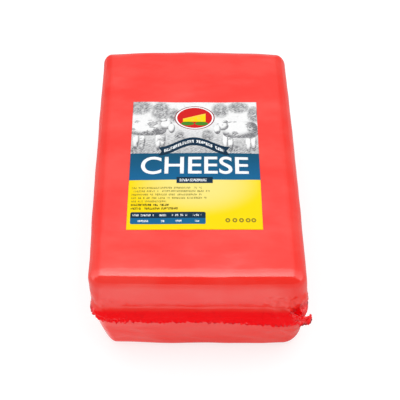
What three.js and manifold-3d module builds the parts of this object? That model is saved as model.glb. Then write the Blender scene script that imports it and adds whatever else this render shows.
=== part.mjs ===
// A block of semi-hard cheese in a tight red shrink bag, lying on its flat underside. The bag's
// mouth is welded in one line across the front wall, where its trimmed edge hangs down as a fin,
// and a paper label is stuck on top.
// Millimetres, +Z up, +Y to the back. The origin lies on the surface that the block rests on,
// under the middle of the whole pack.
import * as THREE from "three";
import { ConvexGeometry } from "three/addons/geometries/ConvexGeometry.js";
import { ParametricGeometry } from "three/addons/geometries/ParametricGeometry.js";
import { mergeVertices } from "three/addons/utils/BufferGeometryUtils.js";
import Module from "manifold-3d";

const wasm = await Module();
wasm.setup();

// The cheese.
const blockWidth = 147;
const blockLength = 223.5;
const blockHeight = 91;
const cornerTop = 10; // radius of the upright corners at the top, seen from above
const cornerFoot = 15; // and at the underside
const topRadius = 9; // where the walls turn into the top
const footRadius = 7.5; // where they turn into the underside
const leastCorner = 0.5; // what is left of an upright corner where a larger round runs past it

// How the pressed block differs from a straight one.
const crownHeight = 2; // the top swells up in its middle
const backBulge = 2; // the back wall swells out in its middle
const frontBulge = 1; // and so does the front wall
const sideBulge = 3; // the side walls swell out halfway up
const waist = 0.6; // and a little halfway along
const lean = 4; // the top stands this far to the left of the underside
const skew = 3.5; // the back end stands this far to the left of the front end

// The shrink bag.
const filmThickness = 0.5;
const filmGap = 0.3; // clearance between the film and the cheese

// The weld across the front wall, and the fin below it.
const sealHeight = 55; // above the underside, in the middle of the wall
const sealDrop = 2; // the right end lies this much lower than the left end
const sealReach = 7; // from the wall out to the weld line
const webRise = 6; // the film leaves the wall this far above the weld line
const webFall = 5; // and comes back to it this far below
const finLeft = 4; // from the weld line down to the trimmed edge, at the left end
const finRight = 9; // and at the right end
const finThickness = 1; // two welded layers
const finTilt = 12; // degrees that the fin stands off the upright
const webSteps = 12; // so that the weld follows the wall's bulge
const scallopPitch = 6;
const scallopDepth = 1.2;
const mouthSlit = { width: 8, height: 1 }; // left open behind the fin: the bag isn't a sealed hollow

// The ears at the two ends of the weld, where spare film gathers. The right one sticks out at the
// corner, and the left one is folded back along the side wall.
// reach is how far the tip stands out from the side wall, and back is how far it lies behind the
// front wall. The ear grows from the side wall over the length of root, between rise above the weld
// line and fall below it, and the tip hangs down by droop.
const rightEar = { reach: 2.8, back: -6, root: 1, rise: 3, fall: 6, droop: 9 };
const leftEar = { reach: 1, back: 8, root: 12, rise: 4, fall: 4, droop: 4 };
const earAlongFront = 16; // how far each ear spreads over the front wall
const earThickness = 3; // the gathered film at the tip

// The label.
const labelWidth = 96.5;
const labelLength = 122.5;
const labelThickness = 0.3;
const labelGap = 0.3; // clearance between the label and the film
const labelFromFront = 41; // clear film between the front wall and the label
const labelToRight = -0.3; // of the middle of the top
const labelTurn = 0.2; // degrees, anticlockwise from above

const filmGrow = filmGap + filmThickness;
const packHeight = blockHeight + 2 * filmGrow;
const frontWall = -(blockLength / 2 + filmGrow);
const sideWall = blockWidth / 2 + filmGrow;
const intoWall = 1.5; // how deep the weld's pieces start inside the wall

const cheeseLook = new THREE.MeshStandardMaterial({ color: 0xf0d58a, roughness: 0.6, metalness: 0 });
const filmLook = new THREE.MeshStandardMaterial({ color: 0xe8201c, roughness: 0.25, metalness: 0 });
const labelLook = new THREE.MeshStandardMaterial({ color: 0xf5e13c, roughness: 0.45, metalness: 0 });

// One level of the block's skin: its outline at a height, drawn in all round by inset, as a ring of
// points. The upright corners grow from the top to the underside.
const cornerSteps = 5;
const sideSteps = [7, 9]; // along the short and the long sides
function outlineAt({ inset, z }) {
  const points = [];
  const quarter = Math.PI / 2;
  const corner = THREE.MathUtils.lerp(cornerFoot, cornerTop, z / packHeight);
  const radius = Math.max(corner - inset, leastCorner);
  const sides = [blockWidth - 2 * (inset + radius), blockLength - 2 * (inset + radius)];
  for (let turn = 0; turn < 4; turn++) {
    const centre = new THREE.Vector2(
      ((turn === 0 || turn === 3 ? 1 : -1) * sides[0]) / 2,
      ((turn < 2 ? 1 : -1) * sides[1]) / 2,
    );
    for (let i = 0; i <= cornerSteps; i++) {
      const angle = (turn + i / cornerSteps) * quarter;
      points.push(new THREE.Vector2(Math.cos(angle), Math.sin(angle)).multiplyScalar(radius).add(centre));
    }
    // The straight side runs on from the end of the corner's arc.
    const side = turn % 2;
    const start = points[points.length - 1];
    const heading = (turn + 2) * quarter;
    const along = new THREE.Vector2(Math.cos(heading), Math.sin(heading));
    for (let i = 1; i < sideSteps[side]; i++) {
      points.push(start.clone().addScaledVector(along, (sides[side] * i) / sideSteps[side]));
    }
  }
  return points;
}

// The levels from the middle of the underside to the middle of the top. share draws a level in
// towards the middle.
function skinLevels(grow) {
  const foot = footRadius + grow;
  const top = topRadius + grow;
  const low = filmGrow - grow;
  const high = filmGrow + blockHeight + grow;
  const roundSteps = 5;
  const wallSteps = 5;
  const crownShares = [0.82, 0.6, 0.35, 0];
  const levels = [{ inset: footRadius, z: low, share: 0 }];
  for (let i = 0; i <= roundSteps; i++) {
    const angle = (i / roundSteps) * (Math.PI / 2);
    const inset = footRadius - foot * Math.sin(angle);
    levels.push({ inset, z: low + foot * (1 - Math.cos(angle)), share: 1 });
  }
  for (let i = 1; i < wallSteps; i++) {
    const z = low + foot + ((high - top - low - foot) * i) / wallSteps;
    levels.push({ inset: -grow, z, share: 1 });
  }
  for (let i = roundSteps; i >= 0; i--) {
    const angle = (i / roundSteps) * (Math.PI / 2);
    const inset = topRadius - top * Math.sin(angle);
    levels.push({ inset, z: high - top * (1 - Math.cos(angle)), share: 1 });
  }
  crownShares.forEach((share) => levels.push({ inset: topRadius, z: high, share }));
  return levels;
}

// The rounded block, grown outwards all over by grow.
function blockSkin(grow) {
  const levels = skinLevels(grow);
  const outlines = levels.map(outlineAt);
  const around = outlines[0].length;
  const place = (u, v, target) => {
    const level = Math.round(v * (levels.length - 1));
    const at = outlines[level][Math.round(u * around) % around];
    target.set(at.x, at.y, 0).multiplyScalar(levels[level].share).setZ(levels[level].z);
  };
  return solid(new ParametricGeometry(place, around, levels.length - 1));
}

// A manifold-3d solid from a closed three.js geometry that was drawn straight, and a geometry back
// from a solid.
function solid(geometry) {
  const bare = geometry.index ? geometry.toNonIndexed() : geometry.clone();
  bare.deleteAttribute("normal");
  bare.deleteAttribute("uv");
  const merged = slump(mergeVertices(bare, 1e-4));
  return new wasm.Manifold(
    new wasm.Mesh({
      numProp: 3,
      vertProperties: merged.getAttribute("position").array,
      triVerts: new Uint32Array(merged.getIndex().array),
    }),
  );
}

function geometryOf(manifold) {
  const mesh = manifold.getMesh();
  const geometry = new THREE.BufferGeometry();
  geometry.setAttribute("position", new THREE.Float32BufferAttribute(mesh.vertProperties, 3));
  geometry.setIndex(new THREE.BufferAttribute(mesh.triVerts, 1));
  return geometry;
}

// The height of the weld line at a place across the front wall.
function sealAt(x) {
  return sealHeight - (sealDrop * x) / (2 * sideWall);
}

// Tips the weld's straight pieces so that they follow the weld line.
function alongSeal(geometry) {
  const position = geometry.getAttribute("position");
  for (let i = 0; i < position.count; i++) {
    position.setZ(i, position.getZ(i) + sealAt(position.getX(i)) - sealHeight);
  }
  return geometry;
}

// The film that bridges from the wall out to the weld line, above and below it.
function sealWeb() {
  const profile = new THREE.Shape([
    new THREE.Vector2(-intoWall, sealHeight + webRise),
    new THREE.Vector2(0, sealHeight + webRise),
    new THREE.Vector2(sealReach, sealHeight + finThickness / 2),
    new THREE.Vector2(sealReach, sealHeight - finThickness / 2),
    new THREE.Vector2(0, sealHeight - webFall),
    new THREE.Vector2(-intoWall, sealHeight - webFall),
  ]);
  const width = 2 * (sideWall - cornerTop / 2);
  const web = new THREE.ExtrudeGeometry(profile, { depth: width, steps: webSteps, bevelEnabled: false });
  const basis = new THREE.Matrix4().makeBasis(
    new THREE.Vector3(0, -1, 0),
    new THREE.Vector3(0, 0, 1),
    new THREE.Vector3(-1, 0, 0),
  );
  web.applyMatrix4(basis);
  web.translate(width / 2, frontWall, 0);
  return solid(alongSeal(web));
}

// The trimmed edge below the weld, with its wavy lower rim.
function sealFin() {
  const left = -(sideWall - earThickness);
  const right = sideWall + rightEar.reach - earThickness;
  const scallops = Math.round((right - left) / scallopPitch);
  const pitch = (right - left) / scallops;
  const rimAt = (x) => -finLeft - ((finRight - finLeft) * (x - left)) / (right - left);
  const outline = new THREE.Shape();
  outline.moveTo(right, 0);
  outline.lineTo(left, 0);
  outline.lineTo(left, rimAt(left));
  for (let i = 1; i <= scallops; i++) {
    const end = left + i * pitch;
    const middle = end - pitch / 2;
    outline.quadraticCurveTo(middle, rimAt(middle) - 2 * scallopDepth, end, rimAt(end));
  }
  const fin = new THREE.ExtrudeGeometry(outline, {
    depth: finThickness,
    bevelEnabled: false,
    curveSegments: 3,
  });
  fin.rotateX(Math.PI / 2);
  fin.rotateX(-THREE.MathUtils.degToRad(finTilt));
  fin.translate(0, frontWall - sealReach + finThickness, sealHeight);
  return solid(alongSeal(fin));
}

// The gathered film at one end of the weld: from the side wall and the front wall out to a tip.
// side is 1 on the right and -1 on the left.
function sealEar(side, { reach, back, root, rise, fall, droop }) {
  const height = sealAt(side * sideWall);
  const tipX = side * (sideWall + reach);
  const tipY = frontWall + back;
  const wallX = side * (sideWall - intoWall);
  const frontX = side * (sideWall - earAlongFront);
  const cornerX = side * (sideWall - earThickness);
  const points = [
    new THREE.Vector3(wallX, frontWall + root, height + rise),
    new THREE.Vector3(wallX, frontWall + root, height - fall),
    new THREE.Vector3(frontX, frontWall + intoWall, height + rise),
    new THREE.Vector3(frontX, frontWall + intoWall, height - fall),
    new THREE.Vector3(frontX, frontWall - sealReach, height),
    new THREE.Vector3(cornerX, frontWall - sealReach, height),
    new THREE.Vector3(tipX, tipY, height + earThickness / 2),
    new THREE.Vector3(tipX, tipY, height - droop),
    new THREE.Vector3(tipX - side * earThickness, tipY - intoWall, height - droop),
  ];
  return solid(new ConvexGeometry(points));
}

// The slit that opens the bag's inside to the air, hidden behind the fin.
function mouthOpening() {
  const slit = new THREE.BoxGeometry(mouthSlit.width, 2 * intoWall, mouthSlit.height);
  slit.translate(0, frontWall, sealHeight - webFall - mouthSlit.height);
  return solid(slit);
}

function shrinkBag() {
  return blockSkin(filmGrow)
    .add(sealWeb())
    .add(sealEar(1, rightEar))
    .add(sealEar(-1, leftEar))
    .add(sealFin())
    .subtract(blockSkin(filmGap))
    .subtract(mouthOpening());
}

// The label keeps its square corners, so the block's skew is taken out of it beforehand.
function label() {
  const sheet = new THREE.BoxGeometry(labelWidth, labelLength, labelThickness, 8, 10, 1);
  sheet.rotateZ(THREE.MathUtils.degToRad(labelTurn));
  sheet.translate(
    labelToRight,
    frontWall + labelFromFront + labelLength / 2,
    packHeight + labelGap + labelThickness / 2,
  );
  sheet.applyMatrix4(new THREE.Matrix4().makeShear(0, 0, skew / blockLength, 0, 0, 0));
  return solid(sheet);
}

// Gives straight geometry the pressed block's crown, bulges, lean and skew.
function slump(geometry) {
  const position = geometry.getAttribute("position");
  for (let i = 0; i < position.count; i++) {
    const across = position.getX(i) / (blockWidth / 2);
    const along = position.getY(i) / (blockLength / 2);
    const up = position.getZ(i) / packHeight;
    const midAcross = Math.max(0, 1 - across * across);
    const midAlong = Math.max(0, 1 - along * along);
    const midUp = Math.max(0, 4 * up * (1 - up));
    const bulge = (along > 0 ? backBulge : -frontBulge) * midAcross * along * along;
    const swell = across * (sideBulge * midUp + waist * midAlong);
    position.setXYZ(
      i,
      position.getX(i) + swell + lean * (0.5 - up) - (skew * along) / 2,
      position.getY(i) + bulge,
      position.getZ(i) + crownHeight * midAcross * midAlong * up,
    );
  }
  return geometry;
}

function piece(name, manifold, look) {
  const mesh = new THREE.Mesh(geometryOf(manifold), look);
  mesh.name = name;
  return mesh;
}

const pack = new THREE.Group();
pack.add(piece("cheese_block", blockSkin(0), cheeseLook));
pack.add(piece("shrink_bag", shrinkBag(), filmLook));
pack.add(piece("label", label(), labelLook));

// The pack stands with its middle over the origin.
const middle = new THREE.Box3().setFromObject(pack).getCenter(new THREE.Vector3());
pack.position.set(-middle.x, -middle.y, 0);

export default pack;
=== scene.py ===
# A block of cheese in a tight red shrink bag: the film with its welded seam, fin and ears, the
# printed label on top, and the studio round it. Metres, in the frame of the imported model.
import math

import bpy
import numpy as np
from mathutils import Matrix, Vector, noise


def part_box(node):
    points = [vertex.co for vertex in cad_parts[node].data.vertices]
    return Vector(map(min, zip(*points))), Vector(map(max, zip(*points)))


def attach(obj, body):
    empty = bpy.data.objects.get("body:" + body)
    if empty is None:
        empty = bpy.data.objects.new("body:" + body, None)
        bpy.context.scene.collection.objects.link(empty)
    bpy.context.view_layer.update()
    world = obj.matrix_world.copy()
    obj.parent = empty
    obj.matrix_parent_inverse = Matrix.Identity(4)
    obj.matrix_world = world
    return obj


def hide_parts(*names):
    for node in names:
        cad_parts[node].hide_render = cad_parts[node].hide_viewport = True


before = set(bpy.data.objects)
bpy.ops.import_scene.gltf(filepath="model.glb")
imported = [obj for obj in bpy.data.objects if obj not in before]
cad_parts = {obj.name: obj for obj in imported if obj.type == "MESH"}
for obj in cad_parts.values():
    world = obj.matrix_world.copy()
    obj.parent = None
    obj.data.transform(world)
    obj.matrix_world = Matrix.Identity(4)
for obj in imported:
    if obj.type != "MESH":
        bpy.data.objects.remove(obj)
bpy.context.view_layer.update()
scene = bpy.context.scene
mm = 0.001
tiny = 1e-9  # keeps a division from meeting zero

# helpers for meshes


def clearSelection():
    bpy.ops.object.select_all(action="DESELECT")


def selectOnly(piece):
    clearSelection()
    piece.select_set(True)
    bpy.context.view_layer.objects.active = piece


# settles a finished piece's place, look and name, and gives it to the frame
def finishPiece(piece, name, material, replaced=None):
    selectOnly(piece)
    bpy.ops.object.transform_apply(location=True, rotation=True, scale=True)
    bpy.ops.object.shade_smooth()
    piece.name = name
    piece.data.materials.clear()
    piece.data.materials.append(material)
    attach(piece, "root")
    if replaced:
        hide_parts(replaced)
    print("made", name, len(piece.data.polygons), "faces")
    return piece


def addModifier(piece, kind, **settings):
    selectOnly(piece)
    modifier = piece.modifiers.new(kind.lower(), kind)
    for key, value in settings.items():
        setattr(modifier, key, value)
    bpy.ops.object.modifier_apply(modifier=modifier.name)


def readPoints(piece):
    points = np.zeros(len(piece.data.vertices) * 3)
    piece.data.vertices.foreach_get("co", points)
    return points.reshape(-1, 3)


def writePoints(piece, points):
    piece.data.vertices.foreach_set("co", points.ravel())
    piece.data.update()


def writeLayer(piece, name, values):
    attribute = piece.data.attributes.new(name, "FLOAT", "POINT")
    attribute.data.foreach_set("value", np.broadcast_to(values, len(piece.data.vertices)).astype(float))


# subdivides all of a new piece's mesh, as triangles if asked
def subdivideAll(cuts, triangles=False):
    bpy.ops.object.mode_set(mode="EDIT")
    bpy.ops.mesh.select_all(action="SELECT")
    if triangles:
        bpy.ops.mesh.quads_convert_to_tris()
    bpy.ops.mesh.subdivide(number_cuts=cuts)
    bpy.ops.object.mode_set(mode="OBJECT")


# a flat grid of a piece's rows and columns, with each point's share of the way across and down
def makeGrid(sizes):
    clearSelection()
    bpy.ops.mesh.primitive_grid_add(x_subdivisions=sizes["columns"], y_subdivisions=sizes["rows"], size=1)
    piece = bpy.context.object
    flat = readPoints(piece)
    return piece, flat[:, 0] + 0.5, 0.5 - flat[:, 1]


# smooth noise of about one unit, with features of the given size
def ripple(points, size, seed, octaves=2, stretch=(1, 1, 1)):
    scale = Vector([1 / (size * share) for share in stretch])
    shift = Vector((seed * 7.3, seed * 3.1, seed * 5.7))  # each seed reads its own part of the noise
    falloff, spacing = 0.9, 2.1  # of each finer octave
    values = [
        noise.fractal(Vector(point) * scale + shift, falloff, spacing, octaves, noise_basis="PERLIN_ORIGINAL")
        for point in points
    ]
    return np.array(values) * 2


# from 0 at the first value to 1 at the second, which may be the smaller one
def smoothStep(low, high, value):
    share = np.clip((value - low) / (high - low), 0, 1)
    return share * share * (3 - 2 * share)


# shader maths


def shaderOperator(operation, reflected=False):
    def apply(link, other):
        sides = (other, link) if reflected else (link, other)
        return link.nodes.math(operation, *sides)

    return apply


class Link:  # an output socket, so that shader maths is written as an expression
    def __init__(self, nodes, socket):
        self.nodes = nodes
        self.socket = socket

    def __abs__(self):
        return self.nodes.math("ABSOLUTE", self)

    __add__ = shaderOperator("ADD")
    __radd__ = shaderOperator("ADD", reflected=True)
    __sub__ = shaderOperator("SUBTRACT")
    __rsub__ = shaderOperator("SUBTRACT", reflected=True)
    __mul__ = shaderOperator("MULTIPLY")
    __rmul__ = shaderOperator("MULTIPLY", reflected=True)
    __truediv__ = shaderOperator("DIVIDE")
    __rtruediv__ = shaderOperator("DIVIDE", reflected=True)
    __gt__ = shaderOperator("GREATER_THAN")
    __lt__ = shaderOperator("LESS_THAN")


class Nodes:  # the node tree of one material or of the world
    def __init__(self, owner):
        owner.use_nodes = True
        self.tree = owner.node_tree
        self.tree.nodes.clear()

    def add(self, kind, settings, sockets, output=0):
        node = self.tree.nodes.new(kind)
        for key, value in settings.items():
            setattr(node, key, value)
        for key, value in sockets.items():
            if isinstance(value, Link):
                self.tree.links.new(value.socket, node.inputs[key])
            else:
                node.inputs[key].default_value = value
        return Link(self, node.outputs[output]) if len(node.outputs) else node

    def math(self, operation, first, second=0.0):
        return self.add("ShaderNodeMath", {"operation": operation}, {0: first, 1: second})

    def larger(self, first, second):
        return self.math("MAXIMUM", first, second)

    def mix(self, share, first, second):
        return self.add("ShaderNodeMix", {"data_type": "RGBA"}, {0: share, 6: first, 7: second}, output=2)

    def where(self, kind):
        return self.add("ShaderNodeTexCoord", {}, {}, output=kind)

    def axis(self, vector, name):
        return self.add("ShaderNodeSeparateXYZ", {}, {0: vector}, output=name)

    def layer(self, name):
        return self.add("ShaderNodeAttribute", {"attribute_name": name}, {}, output="Fac")

    def ray(self, kind):
        return self.add("ShaderNodeLightPath", {}, {}, output=kind)

    def bump(self, height, strength, depth):
        sockets = {"Height": height, "Strength": strength, "Distance": depth}
        return self.add("ShaderNodeBump", {}, sockets)

    def grain(self, vector, size, detail=2.0, rough=0.5, stretch=(1, 1, 1)):
        mapped = self.add("ShaderNodeMapping", {}, {"Vector": vector, "Scale": stretch})
        sockets = {"Vector": mapped, "Scale": 1 / size, "Detail": detail, "Roughness": rough}
        return self.add("ShaderNodeTexNoise", {}, sockets)

    def rise(self, value, low, high):
        settings = {"interpolation_type": "SMOOTHSTEP"}
        return self.add("ShaderNodeMapRange", settings, {"Value": value, "From Min": low, "From Max": high})

    def surface(self, **sockets):
        named = {key.replace("_", " "): value for key, value in sockets.items()}
        shader = self.add("ShaderNodeBsdfPrincipled", {}, named)
        self.add("ShaderNodeOutputMaterial", {}, {"Surface": shader})


# materials


def startMaterial(name):
    material = bpy.data.materials.new(name)
    return material, Nodes(material)


filmLook = {
    "clinging": (0.9, 0.026, 0.016, 1),  # film that lies on the pale cheese
    "pale": (0.9, 0.058, 0.043, 1),  # where the cheese under it shows more
    "loose": (0.94, 0.002, 0.005, 1),  # film with nothing behind it
    "deep": (0.76, 0.0, 0.004, 1),  # a darker red, in random specks over the loose film
    "folded": (0.27, 0.0, 0.01, 1),  # where several layers lie together, and painted shade in hollows and along rims
    "paleShare": 0.7,
    "deepShare": 0.5,
    "roughness": 0.17,
    "smeared": 0.12,  # how much the roughness varies
    "dulled": 0.3,  # and how much rougher film is where several layers lie together
    # sizes of the pale clouds, smears, specks, creases and pores
    "clouds": 35 * mm,
    "smears": 20 * mm,
    "specks": 4 * mm,
    "creases": 6 * mm,
    "pores": 1.6 * mm,
    "relief": 0.12,
}


def makeFilm():
    material, nodes = startMaterial("red shrink film")
    place = nodes.where("Object")
    loose = nodes.layer("looseness")
    folded = nodes.layer("folded")
    clouds = nodes.rise(nodes.grain(place, filmLook["clouds"], 3.0, stretch=(1, 1.6, 1)), 0.35, 0.7)
    specks = nodes.rise(nodes.grain(place, filmLook["specks"], 2.0), 0.5, 0.8)
    cling = nodes.mix(clouds * filmLook["paleShare"], filmLook["clinging"], filmLook["pale"])
    slack = nodes.mix(specks * filmLook["deepShare"], filmLook["loose"], filmLook["deep"])
    colour = nodes.mix(loose, cling, slack)
    # darker where several layers lie together, and painted shade in hollows and along rims
    colour = nodes.mix(folded, colour, filmLook["folded"])
    smears = nodes.grain(place, filmLook["smears"], 3.0, stretch=(1, 2, 1))
    smoothest = filmLook["roughness"] - filmLook["smeared"] / 2
    roughness = smears * filmLook["smeared"] + folded * filmLook["dulled"] + smoothest
    creases = nodes.grain(place, filmLook["creases"], 2.0, stretch=(0.6, 1.6, 1))
    pores = nodes.grain(place, filmLook["pores"], 2.0)
    normal = nodes.bump(creases * 0.7 + pores * 0.12, filmLook["relief"], 1 * mm)
    nodes.surface(Base_Color=colour, Roughness=roughness, Normal=normal)
    return material


cheeseLook = {
    "body": (0.86, 0.62, 0.27, 1),
    "pale": (0.92, 0.74, 0.4, 1),
    # the holes' darker colour is painted shade in them
    "hole": (0.62, 0.38, 0.12, 1),
    "holeShadeShare": 0.6,
    "curd": 12 * mm,  # size of the curd's grain
    "holes": 90.0,  # to a metre
    "roughness": 0.42,
    "relief": 0.4,
    "shine": 0.4,
}


def makeCheese():
    material, nodes = startMaterial("pressed cheese")
    place = nodes.where("Object")
    curd = nodes.grain(place, cheeseLook["curd"], 4.0, 0.6)
    cells = nodes.add("ShaderNodeTexVoronoi", {}, {"Vector": place, "Scale": cheeseLook["holes"]})
    holes = 1 - nodes.rise(cells, 0.12, 0.2)
    colour = nodes.mix(curd, cheeseLook["body"], cheeseLook["pale"])
    # painted shade in the holes
    colour = nodes.mix(holes * cheeseLook["holeShadeShare"], colour, cheeseLook["hole"])
    normal = nodes.bump(curd * 0.4 - holes, cheeseLook["relief"], 1 * mm)
    roughness = cheeseLook["roughness"] + curd * 0.2
    shine = cheeseLook["shine"]
    nodes.surface(Base_Color=colour, Roughness=roughness, Normal=normal, Specular_IOR_Level=shine)
    return material


# the label's print, in millimetres from its upper left corner
labelPrint = {
    "width": 96.5,
    "length": 122.5,
    "sceneEnd": 52.8,  # the engraved pasture ends and the blue band starts
    "bandEnd": 78.3,  # and the yellow field starts here
    "badge": (32.5, 63.6, 4.3, 29.2),  # left, right, top, bottom
    "ribbon": {"middle": 47.7, "crest": 41.3, "sag": 9.7, "half": 27.0, "deep": 4.1, "tail": 2.6},
    "ribbonMarks": (-22.5, 22.5, 2.9, 0.52),  # left, right, height, stroke
    "plate": (34.9, 61.5, 75.8, 81.5),
    # small print: the left margin, and how far down each line is and where it ends
    "margin": 2.3,
    "lines": [(85.7, 53.3), (88.7, 59.1), (91.8, 53.2), (94.9, 56.7), (97.9, 27.8)],
    "boldLines": [(101.0, 29.7), (104.2, 36.1)],
    "lineHeight": 1.7,
    "boldHeight": 1.9,
    "table": (2.4, 56.1, 107.4, 117.8),
    "tableCorner": 1.2,
    "tableRow": 2.5,  # from the middle of the table to each row of marks
    "columns": [(4, 19), (23, 28), (32, 43), (47, 53)],
    "rings": [71.8, 76.8, 81.5, 86.2, 90.2],
    "ringsDown": 114.5,
}
# unreadable marks in place of letters
marks = {
    "stroke": 0.36,
    "letter": 3.4,  # in strokes
    "letterShare": 0.84,  # the rest is the gap to the next letter
    "rows": 4,
    "bare": 0.3,  # share of a letter's cells that stay bare
    "spaces": 0.14,  # share of letters that are spaces
}
# the engraved pasture's ovals: across, down, half width, half height
pasture = {
    "trees": [
        (5, 6, 12, 9), (22, 10, 9, 12), (32, 14, 5, 9), (68, 9, 8, 9), (82, 6, 10, 7), (94, 13, 6, 10),
    ],
    "bushes": [(37, 40, 6, 12), (58, 36, 6, 8), (3, 50, 9, 5), (77, 48, 8, 5)],
    # each cow's legs, body, and then its head, muzzle and ear
    "cows": [
        {
            "legs": [(3.5, 40, 2.3, 10), (8.5, 41, 2.2, 9), (20.5, 41, 2.2, 9), (24, 39, 2.1, 9)],
            "body": (12.5, 27, 14, 8),
            "head": [(26.5, 24, 4.5, 5), (30.5, 28, 2.6, 5), (24.5, 19.5, 2.4, 1.3)],
        },
        {
            "legs": [(71.5, 41, 2.1, 9), (75.5, 43, 2.1, 9), (89, 43, 2.2, 9), (93, 41, 2.1, 9)],
            "body": (83, 29, 13.5, 8.5),
            "head": [(69.5, 25, 4.5, 5), (65.5, 29, 2.6, 5), (71.5, 20.5, 2.4, 1.3)],
        },
    ],
    "leafSize": 3.2,
    "foldSize": 11.0,
    "scratchSize": 1.8,
    "strokes": 2.6,  # radians to a millimetre
}
inkLook = {
    "paper": (0.93, 0.93, 0.93, 1),
    "grey": (0.17, 0.17, 0.18, 1),
    "blue": (0.006, 0.12, 0.28, 1),
    "blueShade": (0.004, 0.075, 0.15, 1),
    "navy": (0.002, 0.02, 0.045, 1),
    "yellow": (0.93, 0.68, 0.002, 1),
    "yellowPale": (0.9, 0.76, 0.22, 1),
    "red": (0.62, 0.012, 0.012, 1),
    "rim": (0.2, 0.01, 0.012, 1),
    "green": (0.05, 0.22, 0.02, 1),
    "rind": (0.95, 0.62, 0.06, 1),
    "white": (0.93, 0.95, 0.97, 1),
    "text": (0.16, 0.13, 0.02, 1),
    "bold": (0.04, 0.035, 0.005, 1),
}
paperLook = {"roughness": 0.45, "relief": 0.08, "depth": 0.4 * mm, "shine": 0.12}


class Sheet:  # the label's face, with places across and down it in millimetres
    def __init__(self, nodes):
        self.nodes = nodes
        flat = nodes.where("UV")
        self.across = nodes.axis(flat, "X") * labelPrint["width"]
        self.down = (1 - nodes.axis(flat, "Y")) * labelPrint["length"]
        self.place = nodes.add("ShaderNodeCombineXYZ", {}, {0: self.across, 1: self.down, 2: 0.0})

    def grain(self, *settings):
        return self.nodes.grain(self.place, *settings)

    def ink(self, colour, share, name):
        return self.nodes.mix(share, colour, inkLook[name])

    def oval(self, middle, height, halfWide, halfHigh, boxy=False):  # below 1 inside
        sideways = (self.across - middle) / halfWide
        upright = (self.down - height) / halfHigh
        squares = [sideways * sideways, upright * upright]
        if boxy:
            squares = [square * square for square in squares]
        return squares[0] + squares[1]

    def box(self, left, right, top, bottom):
        return (self.across > left) * (self.across < right) * (self.down > top) * (self.down < bottom)

    # strokes in cells, cells in letters, letters in words, level with the sheet or along a given place
    def smallPrint(self, left, right, middle, height, seed, stroke=marks["stroke"], place=None):
        nodes = self.nodes
        run, level = place or (self.across, self.down - middle)
        letters = run / (stroke * marks["letter"])
        inLetter = nodes.math("FRACT", letters) < marks["letterShare"]
        letter = nodes.math("FLOOR", letters)
        column = nodes.math("FLOOR", run / stroke)
        row = nodes.math("FLOOR", level / (height / marks["rows"]) + 20.0)
        cell = nodes.add("ShaderNodeCombineXYZ", {}, {0: column, 1: row, 2: seed * 3.7})
        chance = nodes.add("ShaderNodeTexWhiteNoise", {"noise_dimensions": "3D"}, {"Vector": cell})
        gap = nodes.add("ShaderNodeTexWhiteNoise", {"noise_dimensions": "1D"}, {"W": letter + seed * 11.3})
        inLine = (abs(level) < height / 2) * (run > left) * (run < right)
        return inLine * inLetter * (chance > marks["bare"]) * (gap > marks["spaces"])


def drawMass(sheet, tone, shape, folds, boxy=False):  # a spotted rounded mass, lit from the upper left
    nodes = sheet.nodes
    middle, height, halfWide, halfHigh = shape
    turnedAway = sheet.oval(middle - halfWide * 0.25, height - halfHigh * 0.35, halfWide, halfHigh)
    shade = nodes.rise(turnedAway, 0.35, 1.5) * 0.75 + nodes.rise(folds, 0.53, 0.57) * 0.45
    unevenness = (folds - 0.5) * (0.4 if boxy else 0.5)
    inside = 1 - nodes.rise(sheet.oval(*shape, boxy) + unevenness, 0.92, 1.06)
    return tone * (1 - inside) + shade * inside


def drawPasture(sheet):  # engraved: ground and leaves, then trees and bushes, then the cows
    nodes = sheet.nodes
    leaves = sheet.grain(pasture["leafSize"], 4.0, 0.6)
    folds = sheet.grain(pasture["foldSize"], 3.0, 0.55, (1, 1.5, 1))
    tone = nodes.rise(sheet.down + folds * 12.0, 22.0, 60.0) * 0.45 + nodes.rise(leaves, 0.5, 0.8) * 0.18
    for shape in pasture["trees"] + pasture["bushes"]:
        crown = 1 - nodes.rise(sheet.oval(*shape) + leaves * 1.6, 1.1, 1.9)
        tone = nodes.larger(tone, crown * (leaves * 1.7 - 0.3))
    for cow in pasture["cows"]:
        for leg in cow["legs"]:
            tone = drawMass(sheet, tone, leg, folds)
        tone = drawMass(sheet, tone, cow["body"], folds, boxy=True)
        for part in cow["head"]:
            tone = drawMass(sheet, tone, part, folds)
    # the engraver's strokes, broken by scratches
    slant = sheet.across * 0.8 + sheet.down * 1.7 + folds * 14.0
    strokes = nodes.math("SINE", slant * pasture["strokes"]) * 0.5 + 0.5
    scratches = nodes.rise(sheet.grain(pasture["scratchSize"], 3.0, 0.6, (1, 0.5, 1)), 0.35, 0.65)
    engraved = (tone + 0.07) * (strokes * 0.8 + scratches * 0.4 + 0.55)
    return nodes.mix(engraved, inkLook["paper"], inkLook["grey"])


def drawBadge(sheet, colour):  # a plain oval, with a wedge of cheese over two leaves
    left, right, top, bottom = labelPrint["badge"]
    middle = (left + right) / 2
    height = (top + bottom) / 2
    roundel = sheet.oval(middle, height, (right - left) / 2, (bottom - top) / 2)
    for size, name in ((1.0, "rim"), (0.9, "white"), (0.76, "red")):
        colour = sheet.ink(colour, roundel < size, name)
    for side in (-1, 1):
        leaf = sheet.oval(middle + side * 5.4, height + 6.2, 5.0, 2.0)
        colour = sheet.ink(colour, leaf < 1.0, "green")
    slope = (sheet.across - middle + 9) * -0.32 + height + 1
    wedge = sheet.box(middle - 9, middle + 8.5, top, height + 4.2) * (sheet.down > slope)
    colour = sheet.ink(colour, wedge, "yellow")
    colour = sheet.ink(colour, wedge * (sheet.down < slope + 1.5), "rind")
    for holeAcross, holeDown, holeSize in ((-1.5, 2.2, 1.2), (3.2, 0.6, 1.5), (5.6, 3.0, 0.9)):
        hole = sheet.oval(middle + holeAcross, height + holeDown, holeSize, holeSize * 0.85)
        colour = sheet.ink(colour, wedge * (hole < 1.0), "rind")
    return colour


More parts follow.
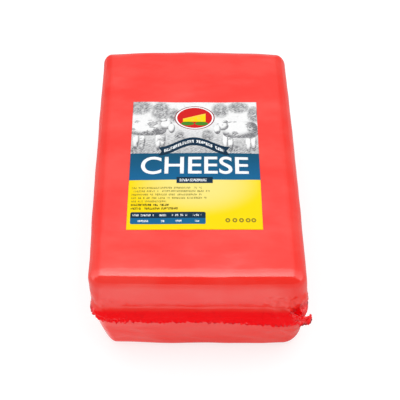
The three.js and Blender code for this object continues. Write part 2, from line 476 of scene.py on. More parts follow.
def drawFields(sheet, colour):  # the blue band and the yellow field
    nodes = sheet.nodes
    band = labelPrint["sceneEnd"]
    field = labelPrint["bandEnd"]
    shading = nodes.rise(sheet.down + sheet.grain(30.0, 1.0) * 16.0, band + 4, field + 12)
    blue = nodes.mix(shading, inkLook["blueShade"], inkLook["blue"])
    glow = nodes.rise(sheet.oval(50, 82, 40, 24), 0.0, 1.6)
    yellow = nodes.mix(glow, inkLook["yellowPale"], inkLook["yellow"])
    colour = nodes.mix(sheet.down > band, colour, blue)
    return nodes.mix(sheet.down > field, colour, yellow)


def drawRibbon(sheet, colour):  # arched, with a line of marks along it
    nodes = sheet.nodes
    ribbon = labelPrint["ribbon"]
    side = sheet.across - ribbon["middle"]
    bend = 1 - nodes.math("COSINE", side * (math.pi / ribbon["half"]))
    level = sheet.down - ribbon["crest"] - bend * (ribbon["sag"] / 2)
    away = abs(level)
    tails = abs(side) < ribbon["half"] - (1 - away / ribbon["deep"]) * ribbon["tail"]
    colour = sheet.ink(colour, (away < ribbon["deep"]) * tails, "navy")
    left, right, height, stroke = labelPrint["ribbonMarks"]
    lettering = sheet.smallPrint(left, right, 0, height, 1, stroke, (side, level))
    return sheet.ink(colour, lettering * 0.85, "white")


def drawPlate(sheet, colour):  # the small one under the word
    left, right, top, bottom = labelPrint["plate"]
    colour = sheet.ink(colour, sheet.box(left, right, top, bottom), "navy")
    lettering = sheet.smallPrint(left + 2, right - 2, (top + bottom) / 2, 2.4, 2, 0.42)
    return sheet.ink(colour, lettering * 0.8, "white")


def drawLines(sheet, colour):  # the small print
    margin = labelPrint["margin"]
    for row, (middle, end) in enumerate(labelPrint["lines"]):
        lettering = sheet.smallPrint(margin, end, middle, labelPrint["lineHeight"], row + 3)
        colour = sheet.ink(colour, lettering * 0.75, "text")
    for row, (middle, end) in enumerate(labelPrint["boldLines"]):
        lettering = sheet.smallPrint(margin, end, middle, labelPrint["boldHeight"], row + 9)
        colour = sheet.ink(colour, lettering, "bold")
    return colour


def drawTable(sheet, colour):  # round-cornered, with two rows of marks, the lower ones shorter
    nodes = sheet.nodes
    left, right, top, bottom = labelPrint["table"]
    corner = labelPrint["tableCorner"]
    half = (top + bottom) / 2
    overSide = abs(sheet.across - (left + right) / 2) - (right - left) / 2 + corner
    overEnd = abs(sheet.down - half) - (bottom - top) / 2 + corner
    overSide = nodes.larger(overSide, 0.0)
    overEnd = nodes.larger(overEnd, 0.0)
    table = (overSide * overSide + overEnd * overEnd) < corner**2
    colour = sheet.ink(colour, table, "blue")
    colour = sheet.ink(colour, table * (sheet.down < half), "navy")
    for column, (start, end) in enumerate(labelPrint["columns"]):
        for row, middle in enumerate([half - labelPrint["tableRow"], half + labelPrint["tableRow"]]):
            trim = (end - start) * 0.25 * row
            seed = column + 4 * row + 12
            lettering = sheet.smallPrint(start + trim, end - trim, middle, labelPrint["lineHeight"], seed)
            colour = sheet.ink(colour, lettering * 0.8, "white")
    return colour


def drawRings(sheet, colour):
    for middle in labelPrint["rings"]:
        ring = sheet.oval(middle, labelPrint["ringsDown"], 1.75, 1.9)
        colour = sheet.ink(colour, (ring < 1.0) * (ring > 0.15) * 0.85, "text")
    return colour


def makeLabelPaint():
    material, nodes = startMaterial("printed label")
    sheet = Sheet(nodes)
    colour = drawPasture(sheet)
    for draw in (drawBadge, drawFields, drawRibbon, drawPlate, drawLines, drawTable, drawRings):
        colour = draw(sheet, colour)
    finishPaper(nodes, colour, sheet.grain(0.8, 3.0))
    return material


def finishPaper(nodes, colour, fibres):
    normal = nodes.bump(fibres, paperLook["relief"], paperLook["depth"])
    roughness = paperLook["roughness"] + fibres * 0.12
    shine = paperLook["shine"]
    nodes.surface(Base_Color=colour, Roughness=roughness, Normal=normal, Specular_IOR_Level=shine)


def makeWordInk():
    material, nodes = startMaterial("white ink")
    fibres = nodes.grain(nodes.where("Object"), 0.8 * mm, 3.0)
    colour = nodes.mix(fibres * 0.15, inkLook["white"], inkLook["paper"])
    finishPaper(nodes, colour, fibres)
    return material


film = makeFilm()
print("materials ready")

# the block's shape: the cheese's own sizes, and how far the film lies outside it

block = {
    "width": 147 * mm,
    "length": 223.5 * mm,
    "height": 91 * mm,
    "film": 0.75 * mm,
    # the front corners draw in towards the foot: by how much, how far along the wall, how high
    "leftTaper": 7.6 * mm,
    "rightTaper": 2.2 * mm,
    "taperLength": 12 * mm,
    "taperHeight": 50 * mm,
    # radius of each upright corner, at the foot and at the top
    "frontLeft": (5.5 * mm, 9 * mm),
    "frontRight": (12.5 * mm, 9 * mm),
    "backLeft": (9 * mm, 5.5 * mm),
    "backRight": (9 * mm, 5.5 * mm),
    "topRound": 9 * mm,
    "footRound": 7.8 * mm,
    "leastCorner": 0.5 * mm,
    "crown": 2 * mm,
    "crownHeight": 92.6 * mm,  # where the crown and the lean are full
    "backBulge": 3.6 * mm,
    "frontBulge": 1 * mm,
    "sideBulge": 3 * mm,
    "waist": 0.6 * mm,  # the middle of the long walls stands out by this
    "lean": 4 * mm,
    "skew": 3.5 * mm,
    "cuts": 99,
    "crowding": 0.6,  # how much closer the skin's rows lie at the edges
    "facet": 15,  # the tight film lies over the top round in strips of this many degrees
}
halfWidth = block["width"] / 2 + block["film"]
halfLength = block["length"] / 2 + block["film"]
fullHeight = block["height"] + 2 * block["film"]


# the radius of the nearest upright corner
def cornerAt(x, y, z):
    ends = []
    for end in (0, 1):
        front = np.where(x < 0, block["frontLeft"][end], block["frontRight"][end])
        back = np.where(x < 0, block["backLeft"][end], block["backRight"][end])
        ends.append(np.where(y < 0, front, back))
    return ends[0] + (ends[1] - ends[0]) * z / fullHeight + block["film"]


# wraps a straight box's skin onto the rounded block
def roundBox(points):
    x, y, z = points.T
    x = x + halfWidth * block["crowding"] * np.sin(math.pi * x / halfWidth) / math.pi
    y = y + halfLength * block["crowding"] * np.sin(math.pi * y / halfLength) / math.pi
    inset = np.clip(np.minimum(halfWidth - abs(x), halfLength - abs(y)), 0, None)
    newInset = inset.copy()
    newZ = z.copy()
    # the level edges: the top's is faceted, the foot's is round
    for radius, edge, sign in (
        (block["topRound"] + block["film"], fullHeight, -1),
        (block["footRound"] + block["film"], 0, 1),
    ):
        sideways = np.clip(radius - inset, 0, None)
        upright = np.clip(radius - abs(z - edge), 0, None)
        near = (sideways > 0) & (upright > 0)
        shrink = radius / np.maximum(np.hypot(sideways, upright), tiny)
        if edge == fullHeight:
            facet = math.radians(block["facet"])
            turn = np.arctan2(sideways, np.maximum(upright, tiny))
            shrink *= np.cos(facet / 2) / np.cos(turn % facet - facet / 2)
        newInset = np.where(near, radius - sideways * shrink, newInset)
        newZ = np.where(near, edge + sign * (radius - upright * shrink), newZ)
    wide = halfWidth - newInset
    deep = halfLength - newInset
    newX = x * wide / np.maximum(halfWidth - inset, tiny)
    newY = y * deep / np.maximum(halfLength - inset, tiny)
    # and the upright corners
    corner = np.maximum(cornerAt(x, y, newZ) - newInset, block["leastCorner"])
    overX = np.clip(abs(newX) - wide + corner, 0, None)
    overY = np.clip(abs(newY) - deep + corner, 0, None)
    near = (overX > 0) & (overY > 0)
    shrink = corner / np.maximum(np.hypot(overX, overY), tiny)
    newX = np.where(near, np.sign(newX) * (wide - corner + overX * shrink), newX)
    newY = np.where(near, np.sign(newY) * (deep - corner + overY * shrink), newY)
    return np.stack([newX, newY, newZ], 1)


# the pressed block's tapered corner, crown, bulges, lean and skew
def slump(points):
    x, y, z = points.T
    tapered = np.clip(1 - (y + halfLength) / block["taperLength"], 0, 1)
    tapered *= np.clip(1 - z / block["taperHeight"], 0, 1) * abs(x / halfWidth) ** 6
    x = x + tapered * np.where(x < 0, block["leftTaper"], -block["rightTaper"])
    # shares of the half width, the half length and the height
    across = x / (block["width"] / 2)
    back = y / (block["length"] / 2)
    up = z / block["crownHeight"]
    midAcross = np.clip(1 - across**2, 0, None)
    midLength = np.clip(1 - back**2, 0, None)
    midUp = np.clip(4 * up * (1 - up), 0, None)
    bulge = np.where(back > 0, block["backBulge"], -block["frontBulge"]) * midAcross * back**2
    swell = across * (block["sideBulge"] * midUp + block["waist"] * midLength)
    lean = block["lean"] * (0.5 - up) - block["skew"] * back / 2
    return np.stack([x + swell + lean, y + bulge, z + block["crown"] * midAcross * midLength * up], 1)


# a straight block's skin, cut into rows
def makeSkin(cuts):
    clearSelection()
    bpy.ops.mesh.primitive_cube_add(size=1, location=(0, 0, fullHeight / 2))
    piece = bpy.context.object
    piece.scale = (2 * halfWidth, 2 * halfLength, fullHeight)
    bpy.ops.object.transform_apply(location=True, rotation=True, scale=True)
    subdivideAll(cuts)
    return piece


# the block's place in the frame, from the cheese's own box
cheeseLow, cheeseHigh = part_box("cheese_block")
cheeseMiddle = (cheeseLow + cheeseHigh) / 2
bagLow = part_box("shrink_bag")[0]


def findShift():
    probe = makeSkin(40)
    points = slump(roundBox(readPoints(probe)))
    bpy.data.objects.remove(probe)
    middle = (points.max(0) + points.min(0)) / 2
    return np.array([cheeseMiddle.x - middle[0], cheeseMiddle.y - middle[1], bagLow.z])


blockShift = findShift()


# the last step of each piece's shape: slumped with the block and put in its place
def settle(points):
    return slump(points) + blockShift


# the weld: how it runs round the block, by the way along from the middle of the front wall

seam = {
    "places": [-96, -88, -80, -74, -68, -60, -35, 0, 35, 57, 66, 74, 82, 90],
    # how far the weld stands off the wall, how high it is, and where the film leaves the wall above it
    "reach": [-0.4, -0.35, -0.2, 0.6, 4.6, 4.9, 5.0, 5.1, 5.0, 4.8, 4.2, 1.2, -0.3, -0.5],
    "weld": [56, 55.5, 54.5, 53, 51.2, 51.4, 52.0, 52.5, 51.8, 50.8, 50.8, 52, 53.5, 54],
    "rampTop": [59.5, 59.5, 59.4, 59, 58.4, 58.4, 58.8, 59.2, 58.4, 57.2, 57.5, 58, 58, 58],
    # how far the fin hangs down, and the share by which it leans out
    "fin": [1.0, 1.0, 1.1, 1.6, 2.6, 2.5, 2.2, 2.0, 2.9, 4.9, 5.9, 2.6, 0.6, 0.6],
    "tilt": [0, 0, 0, 0.25, 0.55, 0.72, 0.75, 0.75, 0.72, 0.66, 0.5, 0.1, 0, 0],
    "smoothing": (-6, -3, 0, 3, 6),  # each value is the mean of those at these distances
    "wander": 0.7 * mm,  # of the line where the film leaves the wall
    "swell": 1.25,  # how gently it leaves the wall above the weld
    "hollow": 1.6,  # and below it
    "ramp": 4.5 * mm,  # below the weld the film comes back to the wall within this
    "gridLine": 59,  # the row of the skin that is pulled onto the weld
    "blend": (6 * mm, 20 * mm),  # rows this close follow it fully, and rows this far not at all
    "loose": (0.56 * mm, 2.38 * mm),  # film this far off the wall starts to look loose, and is
    "onFront": 1 * mm,  # the weld's web keeps to the front wall and the front of the sides
    "onSide": 16 * mm,
    "fromBack": 40 * mm,
}


# one of the weld's values, in metres, at a way along the wall
def along(kind, way):
    places = np.array(seam["places"]) * mm
    values = np.array(seam[kind]) * (1 if kind == "tilt" else mm)
    steps = [np.interp(way + shift * mm, places, values) for shift in seam["smoothing"]]
    return sum(steps) / len(steps)


# the way along the wall from the middle of the front, positive to the right
def wayOf(x, y, corner):
    overX = np.clip(abs(x) - (halfWidth - corner), 0, None)
    overY = np.clip(-y - (halfLength - corner), 0, None)
    turn = np.arctan2(overX, np.maximum(overY, tiny))
    way = np.where(
        overY > 0,
        np.minimum(abs(x), halfWidth - corner) + corner * turn,
        halfWidth - corner + corner * math.pi / 2 + y + halfLength - corner,
    )
    return np.sign(x) * way


# and the point and the outward direction there
def wallAt(way, corner):
    straight = halfWidth - corner
    turn = np.clip((abs(way) - straight) / corner, 0, math.pi / 2)
    beyond = np.clip(abs(way) - straight - corner * math.pi / 2, 0, None)
    outX = np.sign(way) * np.sin(turn)
    outY = -np.cos(turn)
    x = np.sign(way) * np.minimum(abs(way), straight) + corner * outX
    y = -(halfLength - corner) + corner * outY + beyond
    return x, y, outX, outY


# the film round the block

skin = {
    # each kind of fold: how high it stands, and the size, seed, octaves and stretch of its noise
    "waves": (0.26, 34, 1),  # slow unevenness all over
    "ridges": (0.26, 17, 2, 2, (3.2, 1, 1)),  # level waves at the back of the top
    "puckers": (1.1, 7, 3, 3, (0.75, 1, 1.4)),  # gathered film over the right end of the weld
    "rampFolds": (0.12, 5, 4, 2, (0.8, 1, 3)),  # down the ramp above the weld
    "gathers": (0.45, 2.8, 10, 2, (0.8, 0.8, 5)),  # upright ones beside the right corner
    "lowWaves": (0.3, 13, 5, 2, (1.6, 1, 0.8)),  # on the front wall below the fin
    "drag": (0.7, 3.5, 16),  # slanted ones below the ear
    "sideFolds": (0.3, 8, 6, 2, (1, 3, 0.7)),  # from the ears back along the side walls
    "backFolds": (0.5, 6, 8, 2, (0.8, 1, 1.5)),  # at the ends of the flat back weld
    "leftShare": 0.318,  # of the puckers, over the left end
    "endRise": 2.5,  # the ramp's folds are higher towards its ends
    # where they lie: from nothing to full, and for four values back to nothing, in millimetres
    "stands": (0, 6),  # the underside lies flat
    "overWeld": (50, 58, 66, 76),
    "besideEar": (49, 53, 57, 66),
    "belowFin": (8, 16, 40, 48),
    "dragFoot": (12, 30),
    "right": (34, 56),
    "left": (-48, -62),
    "farRight": (60, 68),
    "dragSide": (50, 64),
    "backHalf": (-20, 60),
    # and by the distance from the top, front, side or back
    "nearTop": (3, 0.5),
    "frontWall": (12, 3),
    "cornerGathers": (20, 8),
    "sideWall": (4, 1),
    "frontHalf": (60, 10),
    "backWall": (4, 1),
    "backEnds": (26, 10),
    "earHeight": 55,
    "earSpread": 14,
    # the bag's own flat weld across the back wall
    "backWeld": 44,
    "backWeldStand": 0.9,
    "backWeldHalf": 1.2,
    "backWeldSpread": 9,
    "least": -0.4,  # the cheese holds the film out
}


# the height of one kind of fold at each point
def fold(kind, points, shift=0.0):
    height, size, *noiseSettings = skin[kind]
    return height * mm * (ripple(points, size * mm, *noiseSettings) + shift)


# from 0 to 1, and perhaps back to 0, over one of the skin's ranges
def within(kind, value):
    ends = np.array(skin[kind]) * mm
    share = smoothStep(ends[0], ends[1], value)
    return share if len(ends) == 2 else share * (1 - smoothStep(ends[2], ends[3], value))


def bell(value, middle, half):
    return np.exp(-(((value - middle * mm) / (half * mm)) ** 2))


def makeBag():
    piece = makeSkin(block["cuts"])
    points, loose = raiseSeam(roundBox(readPoints(piece)))
    points, gathered, folded = wrinkle(points, loose)
    writePoints(piece, settle(points))
    writeLayer(piece, "looseness", np.clip(loose + gathered * 0.8, 0, 1))
    writeLayer(piece, "folded", folded)
    return piece


# pulls the skin out to the weld, and a row of its faces onto the weld's line
def raiseSeam(points):
    x, y, z = points.T
    corner = cornerAt(x, y, z)
    way = wayOf(x, y, corner)
    gridZ = seam["gridLine"] * fullHeight / (block["cuts"] + 1)
    weld = along("weld", way)
    rampTop = along("rampTop", way) + ripple(points * (1, 1, 0), 11 * mm, 9) * seam["wander"]
    reach = np.maximum(along("reach", way), 0)
    onWall = (z > block["footRound"] + 1 * mm) & (z < fullHeight - block["topRound"] - 1 * mm)
    onWall &= (abs(x) > halfWidth - seam["onSide"]) | (y < -halfLength + seam["onFront"])
    onWall &= y < halfLength - seam["fromBack"]
    nearSeam = 1 - smoothStep(*seam["blend"], abs(z - gridZ))
    pulled = z + (weld - gridZ) * nearSeam * onWall * (reach > 0)
    above = np.clip((rampTop - pulled) / (rampTop - weld), 0, 1)
    below = np.clip(1 + (pulled - weld) / seam["ramp"], 0, 1)
    onWeld = weld - 0.001 * mm
    share = np.where(pulled >= onWeld, above ** seam["swell"], below ** seam["hollow"]) * onWall
    outX, outY = wallAt(way, corner)[2:]
    stand = reach * share
    loose = smoothStep(*seam["loose"], stand)
    return np.stack([x + outX * stand, y + outY * stand, np.where(onWall, pulled, z)], 1), loose


# the direction straight out of the rounded block at each point
def outward(points):
    x, y, z = points.T
    corner = cornerAt(x, y, z)
    overTop = np.clip(z - fullHeight + block["topRound"], 0, None)
    out = np.stack(
        [
            np.sign(x) * np.clip(abs(x) - halfWidth + corner, 0, None),
            np.sign(y) * np.clip(abs(y) - halfLength + corner, 0, None),
            overTop - np.clip(block["footRound"] - z, 0, None),
        ],
        1,
    )
    return out / np.maximum(np.linalg.norm(out, axis=1), tiny)[:, None]


# folds the film, and says where it is gathered, where it lies in several layers and where shade is painted
# into its hollows
def wrinkle(points, loose):
    x, y, z = points.T
    fromFront = y + halfLength
    fromBack = halfLength - y
    fromSide = halfWidth - abs(x)
    lift = fold("waves", points)
    lift += within("nearTop", fullHeight - z) * fold("ridges", points) * (0.5 + within("backHalf", y))
    # the front wall: gathered over the weld's ends, small folds down the ramp, and slack below
    front = within("frontWall", fromFront)
    right = within("right", x)
    left = within("left", x)
    ends = right + left * skin["leftShare"]
    lift += front * within("overWeld", z) * ends * fold("puckers", points, 0.3)
    lift += front * loose * (1 + (right + left) * skin["endRise"]) * fold("rampFolds", points)
    belowFin = within("belowFin", z)
    lift += front * belowFin * fold("lowWaves", points)
    slanted = np.stack([x + z * 0.8, y * 0.2, (z - x) * 0.35], 1)
    belowEar = within("dragSide", x) * belowFin * within("dragFoot", z)
    lift += front * belowEar * fold("drag", slanted, 0.3)
    # upright gathers round the right corner, with painted shade in their hollows
    gathers = fold("gathers", points)
    gathered = within("farRight", x) * within("cornerGathers", fromFront) * within("besideEar", z)
    lift += gathered * gathers
    shadedHollows = smoothStep(0.1, 0.6, -gathers / (skin["gathers"][0] * mm))
    folded = gathered * shadedHollows * 0.6
    # folds that run back from the ears along the side walls
    behindEars = within("sideWall", fromSide) * within("frontHalf", fromFront)
    lift += behindEars * bell(z, skin["earHeight"], skin["earSpread"]) * fold("sideFolds", points)
    # the flat weld across the back wall, and the folds at its ends
    back = within("backWall", fromBack)
    ridge = bell(z, skin["backWeld"], skin["backWeldHalf"]) * skin["backWeldStand"] * mm
    lift += back * ridge * (1 + 0.3 * ripple(points, 5 * mm, 7))
    nearWeld = bell(z, skin["backWeld"], skin["backWeldSpread"]) * within("backEnds", fromSide)
    lift += back * nearWeld * fold("backFolds", points)
    lift = np.maximum(lift, skin["least"] * mm) * within("stands", z)
    return points + outward(points) * lift[:, None], gathered, folded


bag = finishPiece(makeBag(), "bag_film", film, "shrink_bag")

# the fin: the trimmed edge that hangs from the weld, round the left corner too

fin = {
    "leftEnd": -90,  # places are along the weld, in millimetres like the sizes
    "rightEnd": 78,
    "columns": 520,
    "rows": 22,
    "thick": 0.32,
    "root": 2.0,  # it starts this far above the weld, in the film
    "scallop": 3.7,  # pitch of the wavy edge
    "toothDepth": 0.55,
    "fray": 0.25,  # fine unevenness of the teeth
    "flutter": 0.3,
    "curl": 0.5,  # the lower rim turns out by this
    "crumple": 0.34,  # more towards the left end of the front wall
    "dug": 0.38,  # the root sinks into the film by this share of its height
    "proud": 0.14,  # and the weld's line stands off it by this
    "messyLeft": (-42, -60),
    "leftCorner": (-71, -77),
    "rightCorner": (73, 77),
}


def finShare(kind, way):
    start, end = fin[kind]
    return smoothStep(start * mm, end * mm, way)


def makeFin():
    piece, across, fall = makeGrid(fin)
    way = (fin["leftEnd"] + (fin["rightEnd"] - fin["leftEnd"]) * across) * mm
    x, y, outX, outY = wallAt(way, cornerAt(way, -1, along("weld", way)))
    free = 0.2 + along("tilt", way)  # the ends round the corners are neater
    zero = way * 0
    flatPlace = np.stack([way, fall * 0.002, zero], 1)
    scallops = abs(np.sin(math.pi * way / (fin["scallop"] * mm) + ripple(flatPlace, 12 * mm, 11)))
    teeth = fin["toothDepth"] * scallops + fin["fray"] * ripple(flatPlace, 1.6 * mm, 12, 3)
    length = along("fin", way) + teeth * mm * free
    place = np.stack([way, fall * length, zero], 1)
    wave = free * ripple(place, 2.6 * mm, 13, 3, (1, 1.2, 1))
    crumpled = 1.5 * finShare("messyLeft", way) * smoothStep(0.4, 0.65, fall)
    crumpled += 0.3 * smoothStep(0.6, 0.9, fall)
    crumple = ripple(place, 1.15 * mm, 14, 2) * crumpled * free
    curl = smoothStep(0.7, 1, fall) * free * (0.6 + wave)
    weld = along("weld", way)
    z = weld + fin["root"] * mm - fall * (length + fin["root"] * mm)
    above = np.clip(z - weld, 0, None)
    hanging = np.clip(weld - z, 0, None)
    # it follows the ramp above the weld and leans out below it
    share = (1 - above / (along("rampTop", way) - weld)) ** seam["swell"]
    reach = along("reach", way) * share + along("tilt", way) * hanging
    reach += fin["proud"] * mm - above * fin["dug"]
    reach += (fall**2 * wave * fin["flutter"] + curl * fin["curl"] + crumple * fin["crumple"]) * mm
    points = np.stack([x, y, z], 1)
    reach += fold("waves", points)
    points += np.stack([outX, outY, zero], 1) * reach[:, None]
    writePoints(piece, settle(points))
    # darker round the corners and in spots along the lower rim: several layers of film, and painted shade
    corners = finShare("leftCorner", way) + finShare("rightCorner", way)
    rim = smoothStep(0.75, 1, fall) * smoothStep(0, 0.5, ripple(place, 2.2 * mm, 15)) * 0.45
    writeLayer(piece, "folded", np.clip(corners + rim, 0, 0.95))
    writeLayer(piece, "looseness", 1)
    addModifier(piece, "SOLIDIFY", thickness=fin["thick"] * mm, offset=0)
    return piece


finishPiece(makeFin(), "seal_fin", film, "shrink_bag")

# the right ear: the end of the weld, folded and crumpled into a tab

ear = {
    "start": 62 * mm,  # across the block
    "end": 76.6 * mm,
    "top": 55.8 * mm,
    "low": 40.4 * mm,
    "stand": 6.6 * mm,
    "thick": 0.9 * mm,
    "blunt": 0.62,  # how round its end is
    "tuck": 2.4 * mm,  # the rim rolls back towards the wall by this
    "buried": 3.2 * mm,  # and it grows out of the fin from this far behind it
    "lean": 1.5 * mm,
    "folds": 1.0 * mm,
    "crumple": 0.4 * mm,
    "sway": 0.35 * mm,  # the crumple sideways
    "columns": 56,
    "rows": 56,
}


def makeEar():
    piece, across, fall = makeGrid(ear)
    # the outline: a blunt tab, square above and round below
    x = ear["start"] + (ear["end"] - ear["start"]) * across
    bluntEnd = np.sqrt(1 - across**8 * ear["blunt"])
    top = ear["top"]
    low = ear["low"] + 2.5 * mm * across**3 + 1.5 * mm * (1 - across) ** 2
    z = (top + low) / 2 + (top - low) / 2 * bluntEnd * (1 - 2 * fall)
    # slanted folds and a fine crumple
    slanted = np.stack([(x - z) * 0.9, x * 0, (x + z) * 0.3], 1)
    folds = ripple(slanted, 2.4 * mm, 26, 2)
    crumple = ripple(np.stack([x, x * 0, z], 1), 2.4 * mm, 22, 3)
    edge = np.maximum(smoothStep(0.6, 1, fall), smoothStep(0.8, 1, across))
    back = smoothStep(0.45, 1, edge) * ear["tuck"] + smoothStep(0.45, 0, across) * ear["buried"]
    y = back - halfLength - ear["stand"] - (fall - 0.5) * ear["lean"]
    y += folds * ear["folds"] + crumple * ear["crumple"]
    writePoints(piece, settle(np.stack([x + crumple * ear["sway"], y, z], 1)))
    # several layers show along the lower rim, at the end and in the folds, darkened with painted shade as
    # well
    lowerRim = smoothStep(0.78, 0.95, fall) * smoothStep(0.25, 0.5, across)
    endRim = smoothStep(0.88, 0.97, across) * smoothStep(0.25, 0.6, fall)
    earLayersAndShade = np.maximum(lowerRim, endRim) + smoothStep(0.15, 0.6, folds) * 0.4
    writeLayer(piece, "folded", np.clip(earLayersAndShade, 0, 0.95))
    writeLayer(piece, "looseness", 1)
    addModifier(piece, "SOLIDIFY", thickness=ear["thick"], offset=-1)
    addModifier(piece, "SUBSURF", levels=1, render_levels=1)
    return piece


finishPiece(makeEar(), "corner_ear", film, "shrink_bag")

# the label, stuck on the film

labelSheet = {
    "turn": 0.2,  # degrees
    "columns": 96,
    "rows": 122,
    "gap": 0.12 * mm,
    "thick": 0.12 * mm,
}
labelLow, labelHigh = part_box("label")
labelMiddle = (labelLow + labelHigh) / 2
overLabel = labelHigh.z + 2 * mm  # the label and the word start here and are laid down from above


def stickDown(piece, gap, thick):
    addModifier(
        piece, "SHRINKWRAP", target=bag, wrap_method="PROJECT", use_project_z=True,
        use_negative_direction=True, use_positive_direction=True, offset=gap,
    )
    addModifier(piece, "SOLIDIFY", thickness=thick, offset=1)


def makeLabel():
    piece = makeGrid(labelSheet)[0]
    piece.scale = (labelPrint["width"] * mm, labelPrint["length"] * mm, 1)
    piece.rotation_euler.z = math.radians(labelSheet["turn"])
    piece.location = (labelMiddle.x, labelMiddle.y, overLabel)
    bpy.ops.object.transform_apply(location=True, rotation=True, scale=True)
    stickDown(piece, labelSheet["gap"], labelSheet["thick"])
    return piece


finishPiece(makeLabel(), "paper_label", makeLabelPaint(), "label")

word = {
    "text": "CHEESE",
    "width": 80.0 * mm,
    "height": 16.6 * mm,
    "down": 64.6,  # its middle, in millimetres from the label's upper edge
    "weight": 0.012,  # the letters are drawn a little bolder
    "gap": labelSheet["gap"] + labelSheet["thick"] + 0.01 * mm,  # it lies on the label's upper face
    "ink": 0.03 * mm,
}


def makeWord():
    clearSelection()
    bpy.ops.object.text_add()
    piece = bpy.context.object
    piece.data.body = word["text"]
    piece.data.align_x = "CENTER"
    piece.data.offset = word["weight"]
    piece.data.resolution_u = 6
    bpy.ops.object.convert(target="MESH")
    points = readPoints(piece)
    low, high = points.min(0), points.max(0)
    size = high - low
    points = (points - (low + high) / 2) * (word["width"] / size[0], word["height"] / size[1], 0)
    down = (labelPrint["length"] / 2 - word["down"]) * mm
    writePoints(piece, points + (labelMiddle.x, labelMiddle.y + down, overLabel))
    subdivideAll(2, triangles=True)
    stickDown(piece, word["gap"], word["ink"])
    return piece


finishPiece(makeWord(), "label_word", makeWordInk())

# the cheese itself keeps its CAD shape

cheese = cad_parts["cheese_block"]
cheese.data.materials.clear()
cheese.data.materials.append(makeCheese())

# studio

studio = {
    "floor": 2.6,  # how wide it is
    "floorColour": (0.4, 0.4, 0.4, 1),
    "floorGlow": 0.68,  # the floor is a lit white table, so shadows on it stay faint
    "mirroredGlow": 0.6,  # what the film mirrors of it in front of the block
    "sideGlow": 0.12,  # and beside and behind it
    "rightOf": (50 * mm, 85 * mm),
    "leftOf": (80 * mm, 120 * mm),
    "behind": (80 * mm, 120 * mm),
    "bounce": 0.68,  # what it sends up as soft light
    "shade": 0.5,  # it is darker close to the block
    "shadeFrom": (78 * mm, 116 * mm),
    "shadeWidth": 25 * mm,
    "lessShade": 0.7,  # but not so much at the left
    "lessShadeAt": (10 * mm, 70 * mm),
    "ambient": 0.8,
    "seen": 1.1,  # the white behind the floor
    # what the film mirrors overhead: bands of light that reach back to, fade by, and how bright
    "ceiling": 0.75,
    "bands": [(0.4, 0.78, 1.15), (0.36, 0.46, 1.9), (0.0, 0.2, 1.5), (-0.35, 0.05, 1.5)],
    "frontEnd": (-0.46, -0.38),  # and where they end in front
    "sides": (0.2, 0.6),
    "sideLoss": 0.6,
    "horizon": 0.4,
    "horizonTop": (0.04, 0.16),
    "horizonFront": (-0.6, -0.3),
    "dark": 0.04,  # the rest of the room
    "softbox": {"place": (0, 0.05, 1.4), "size": (2.0, 1.0), "power": 8.0},
}


def makeFloor():
    clearSelection()
    bpy.ops.mesh.primitive_plane_add(size=studio["floor"], location=(0, 0, bagLow.z - 0.1 * mm))
    floor = bpy.context.object
    floor.name = "floor"
    material, nodes = startMaterial("pale floor")
    place = nodes.where("Object")
    x = nodes.axis(place, "X")
    y = nodes.axis(place, "Y")
    mirrored = nodes.ray("Is Glossy Ray")
    seen = nodes.ray("Is Camera Ray")
    beside = nodes.larger(nodes.rise(x, *studio["rightOf"]), nodes.rise(0 - x, *studio["leftOf"]))
    beside = nodes.larger(beside, nodes.rise(y, *studio["behind"]))
    glow = beside * (studio["sideGlow"] - studio["mirroredGlow"]) + studio["mirroredGlow"]
    glow = mirrored * glow + (1 - mirrored) * studio["bounce"]
    shadeSide, shadeEnd = studio["shadeFrom"]
    away = nodes.larger(abs(x) - shadeSide, abs(y) - shadeEnd)
    shade = 1 - nodes.rise(away, 0.0, studio["shadeWidth"])
    shade = shade * (1 - nodes.rise(0 - x, *studio["lessShadeAt"]) * studio["lessShade"])
    glow = glow * (1 - shade * studio["shade"])
    glow = glow * (1 - seen) + seen * studio["floorGlow"]
    plain = {"Roughness": 0.7, "Specular_IOR_Level": 0.2, "Emission_Color": (1, 1, 1, 1)}
    nodes.surface(Base_Color=studio["floorColour"], Emission_Strength=glow, **plain)
    floor.data.materials.append(material)


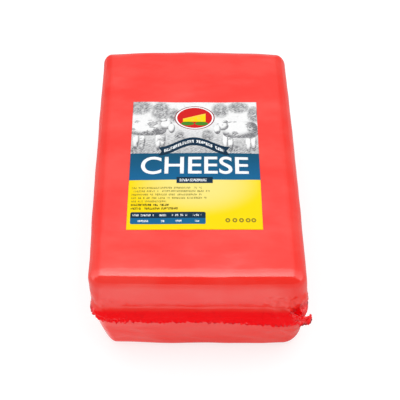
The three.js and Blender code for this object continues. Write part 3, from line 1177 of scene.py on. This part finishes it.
# even white light all round, but glossy film mirrors a room that is bright above and behind
def makeWorld():
    world = bpy.data.worlds.new("studio")
    scene.world = world
    nodes = Nodes(world)
    way = nodes.where("Generated")
    across = abs(nodes.axis(way, "X"))
    back = nodes.axis(way, "Y")
    overhead = studio["ceiling"]
    for full, gone, brightness in studio["bands"]:
        overhead = overhead + (1 - nodes.rise(back, full, gone)) * brightness
    overhead = overhead * nodes.rise(back, *studio["frontEnd"])
    overhead = overhead * (1 - nodes.rise(across, *studio["sides"]) * studio["sideLoss"])
    horizon = 1 - nodes.rise(nodes.axis(way, "Z"), *studio["horizonTop"])
    horizon = horizon * nodes.rise(back, *studio["horizonFront"]) * studio["horizon"]
    room = nodes.larger(overhead, horizon) + studio["dark"]
    mirrored = nodes.ray("Is Glossy Ray")
    strength = mirrored * room + (1 - mirrored) * studio["ambient"]
    strength = nodes.larger(strength, nodes.ray("Is Camera Ray") * studio["seen"])
    background = nodes.add("ShaderNodeBackground", {}, {"Color": (1, 1, 1, 1), "Strength": strength})
    nodes.add("ShaderNodeOutputWorld", {}, {"Surface": background})
    world.cycles.sampling_method = "NONE"


def makeSoftbox():
    box = studio["softbox"]
    clearSelection()
    bpy.ops.object.light_add(type="AREA", location=box["place"])
    lamp = bpy.context.object
    lamp.visible_glossy = False
    lamp.data.shape = "RECTANGLE"
    lamp.data.size, lamp.data.size_y = box["size"]
    lamp.data.energy = box["power"]


view = {
    "target": (-1.75 * mm, -1.2 * mm, 45 * mm),  # from the middle of the cheese's foot
    "distance": 0.7007,
    "elevation": 52.7,
    "azimuth": -0.22,
    "roll": 0.39,
    "sideways": 3.5 * mm,
    "upwards": -6.1 * mm,
    "lens": 79.2,
    "sensor": 36,
}


def makeCamera():
    camera = bpy.data.cameras.new("camera")
    camera.lens = view["lens"]
    camera.sensor_width = view["sensor"]
    stand = bpy.data.objects.new("camera", camera)
    scene.collection.objects.link(stand)
    turn = Matrix.Rotation(math.radians(view["azimuth"]), 4, "Z")
    turn = turn @ Matrix.Rotation(math.radians(90 - view["elevation"]), 4, "X")
    turn = turn @ Matrix.Rotation(math.radians(view["roll"]), 4, "Z")
    target = Vector((cheeseMiddle.x, cheeseMiddle.y, 0)) + Vector(view["target"])
    place = target + turn.to_3x3() @ Vector((view["sideways"], view["upwards"], view["distance"]))
    stand.matrix_world = Matrix.Translation(place) @ turn
    scene.camera = stand


makeFloor()
makeWorld()
makeSoftbox()
makeCamera()
scene.view_settings.view_transform = "Standard"
print("studio ready")
